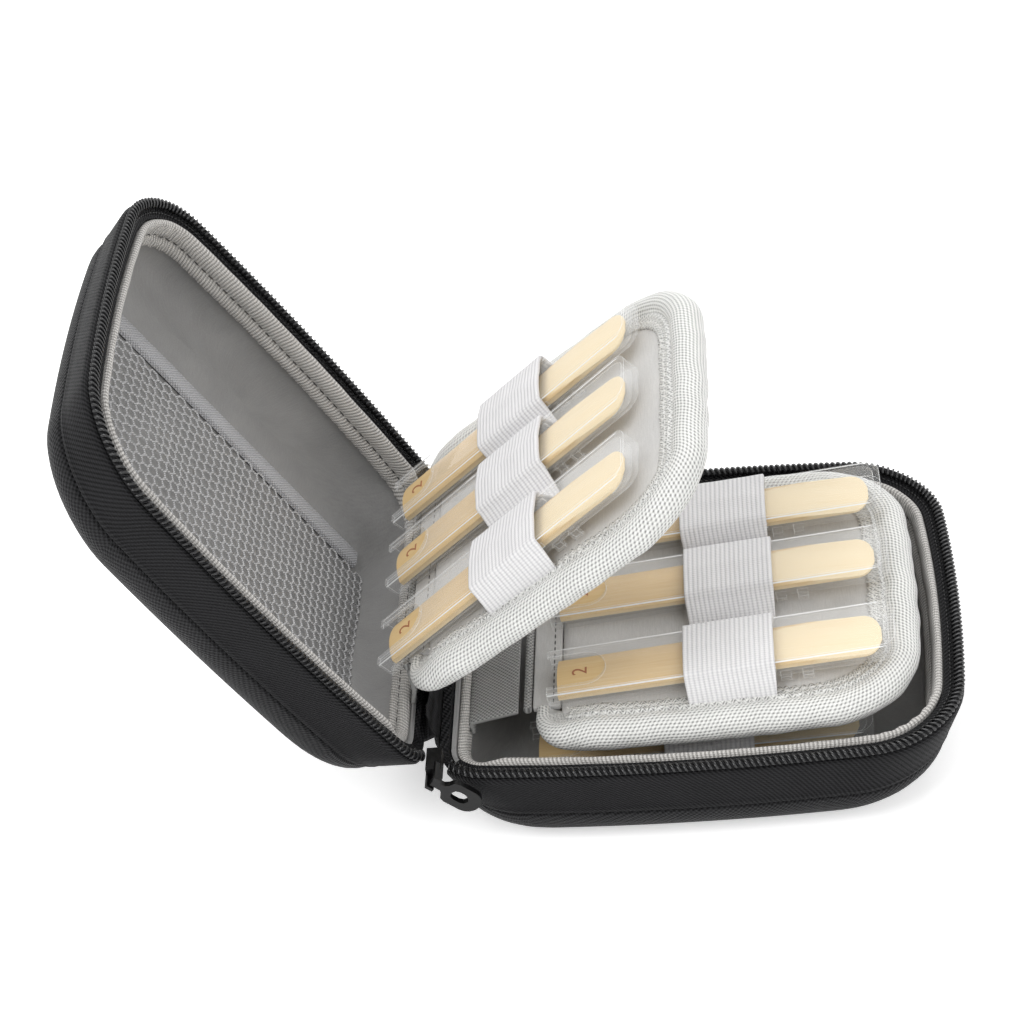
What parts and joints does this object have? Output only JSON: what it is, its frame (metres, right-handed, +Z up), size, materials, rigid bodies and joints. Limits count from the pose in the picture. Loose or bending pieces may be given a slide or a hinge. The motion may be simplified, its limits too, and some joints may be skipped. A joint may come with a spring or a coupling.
{
  "type": "reed case",
  "caption": "Zippered hard-shell reed case standing open, with a base tray, a pocketed lid and padded leaves that hold reeds in clear holders.",
  "frame": {"origin": "middle of the base's flat underside", "axes": "+Z up, +X from the spine to the base's far end, -Y the front of the base, where the slider is"},
  "size_m": [0.1766, 0.0964, 0.1185],
  "materials": {
    "shell": "black ballistic nylon over moulded foam",
    "zip_tape": "black twill zipper tape",
    "zip_coil": "black nylon coil",
    "slider": "black enamel",
    "lip": "ribbed grey cloth",
    "lining": "grey felt",
    "panel": "light grey felt",
    "hinge_cloth": "grey woven cloth",
    "border": "padded glossy mesh cloth",
    "strap": "ribbed woven elastic",
    "net": "knitted net",
    "binding": "ribbed woven tape",
    "holder": "clear moulded styrene",
    "reed": "dried cane"
  },
  "bodies": {
    "base_body": {"base_shell": "shell", "base_lining": "lining", "base_lip": "lip", "base_zip_tape": "zip_tape", "base_zip_coil": "zip_coil", "base_strap": "strap", "spine_gusset": "shell", "zip_slider": "slider"},
    "lid_body": {"lid_shell": "shell", "lid_lining": "lining", "lid_lip": "lip", "lid_zip_tape": "zip_tape", "lid_zip_coil": "zip_coil", "pocket_net": "net", "pocket_binding": "binding", "leaf_1_root": "hinge_cloth"},
    "pull_body": {"zip_pull": "slider"},
    "leaf_1_tab_body": {"leaf_1_tab": "hinge_cloth", "leaf_1_seam": "hinge_cloth"},
    "leaf_1_body": {"leaf_1_border": "border", "leaf_1_panel": "panel", "leaf_1_hem": "panel", "leaf_1_strap": "strap"},
    "leaf_2_tab_body": {"leaf_2_tab": "hinge_cloth", "leaf_2_seam": "hinge_cloth"},
    "leaf_2_body": {"leaf_2_border": "border", "leaf_2_panel": "panel", "leaf_2_hem": "panel", "leaf_2_strap": "strap"},
    "base_front_holder_body": {"base_holder_front": "holder", "base_reed_front": "reed"},
    "base_middle_holder_body": {"base_holder_middle": "holder", "base_reed_middle": "reed"},
    "base_back_holder_body": {"base_holder_back": "holder", "base_reed_back": "reed"},
    "leaf_1_front_holder_body": {"leaf_1_holder_front": "holder", "leaf_1_reed_front": "reed"},
    "leaf_1_middle_holder_body": {"leaf_1_holder_middle": "holder", "leaf_1_reed_middle": "reed"},
    "leaf_1_back_holder_body": {"leaf_1_holder_back": "holder", "leaf_1_reed_back": "reed"},
    "leaf_2_front_holder_body": {"leaf_2_holder_front": "holder", "leaf_2_reed_front": "reed"},
    "leaf_2_middle_holder_body": {"leaf_2_holder_middle": "holder", "leaf_2_reed_middle": "reed"},
    "leaf_2_back_holder_body": {"leaf_2_holder_back": "holder", "leaf_2_reed_back": "reed"}
  },
  "joints": [
    {"name": "lid_hinge", "type": "hinge", "parent": "base_body", "child": "lid_body", "pos_m": [-0.0546, 0, 0.022], "axis": [0, -1, 0], "range_deg": [-118.8, 46], "deforming": ["spine_gusset"]},
    {"name": "leaf_1_tab_hinge", "type": "hinge", "parent": "lid_body", "child": "leaf_1_tab_body", "pos_m": [-0.05905, 0, 0.02697], "axis": [0, -1, 0], "range_deg": [-31.2, 80.5]},
    {"name": "leaf_1_turn", "type": "hinge", "parent": "leaf_1_tab_body", "child": "leaf_1_body", "pos_m": [-0.05942, 0, 0.0348], "axis": [0, -1, 0], "range_deg": [0, 50]},
    {"name": "leaf_2_tab_hinge", "type": "hinge", "parent": "base_body", "child": "leaf_2_tab_body", "pos_m": [-0.0486, 0, 0.017], "axis": [0, -1, 0], "range_deg": [-6.7, 2.6]},
    {"name": "leaf_2_turn", "type": "hinge", "parent": "leaf_2_tab_body", "child": "leaf_2_body", "pos_m": [-0.03605, 0, 0.01999], "axis": [0, -1, 0], "range_deg": [0, 30]},
    {"name": "pull_swing", "type": "hinge", "parent": "base_body", "child": "pull_body", "pos_m": [-0.0546, -0.047, 0.022], "axis": [-0.682, 0, -0.7314], "range_deg": [0, 120]},
    {"name": "base_front_holder_slide", "type": "slide", "parent": "base_body", "child": "base_front_holder_body", "axis": [0.9984, 0, 0.0558], "range_m": [0, 0.008]},
    {"name": "base_middle_holder_slide", "type": "slide", "parent": "base_body", "child": "base_middle_holder_body", "axis": [0.9984, 0, 0.0558], "range_m": [0, 0.008]},
    {"name": "base_back_holder_slide", "type": "slide", "parent": "base_body", "child": "base_back_holder_body", "axis": [0.9984, 0, 0.0558], "range_m": [0, 0.008]},
    {"name": "leaf_1_front_holder_slide", "type": "slide", "parent": "leaf_1_body", "child": "leaf_1_front_holder_body", "axis": [0.7604, 0, 0.6494], "range_m": [0, 0.075]},
    {"name": "leaf_1_middle_holder_slide", "type": "slide", "parent": "leaf_1_body", "child": "leaf_1_middle_holder_body", "axis": [0.7604, 0, 0.6494], "range_m": [0, 0.075]},
    {"name": "leaf_1_back_holder_slide", "type": "slide", "parent": "leaf_1_body", "child": "leaf_1_back_holder_body", "axis": [0.7604, 0, 0.6494], "range_m": [0, 0.075]},
    {"name": "leaf_2_front_holder_slide", "type": "slide", "parent": "leaf_2_body", "child": "leaf_2_front_holder_body", "axis": [0.9938, 0, 0.1115], "range_m": [0, 0.075]},
    {"name": "leaf_2_middle_holder_slide", "type": "slide", "parent": "leaf_2_body", "child": "leaf_2_middle_holder_body", "axis": [0.9938, 0, 0.1115], "range_m": [0, 0.075]},
    {"name": "leaf_2_back_holder_slide", "type": "slide", "parent": "leaf_2_body", "child": "leaf_2_back_holder_body", "axis": [0.9938, 0, 0.1115], "range_m": [0, 0.075]}
  ],
  "couplings": [
    {"joint": "leaf_1_tab_hinge", "follows": "lid_hinge", "ratio": -0.677},
    {"joint": "leaf_2_tab_hinge", "follows": "lid_hinge", "ratio": 0.056}
  ]
}
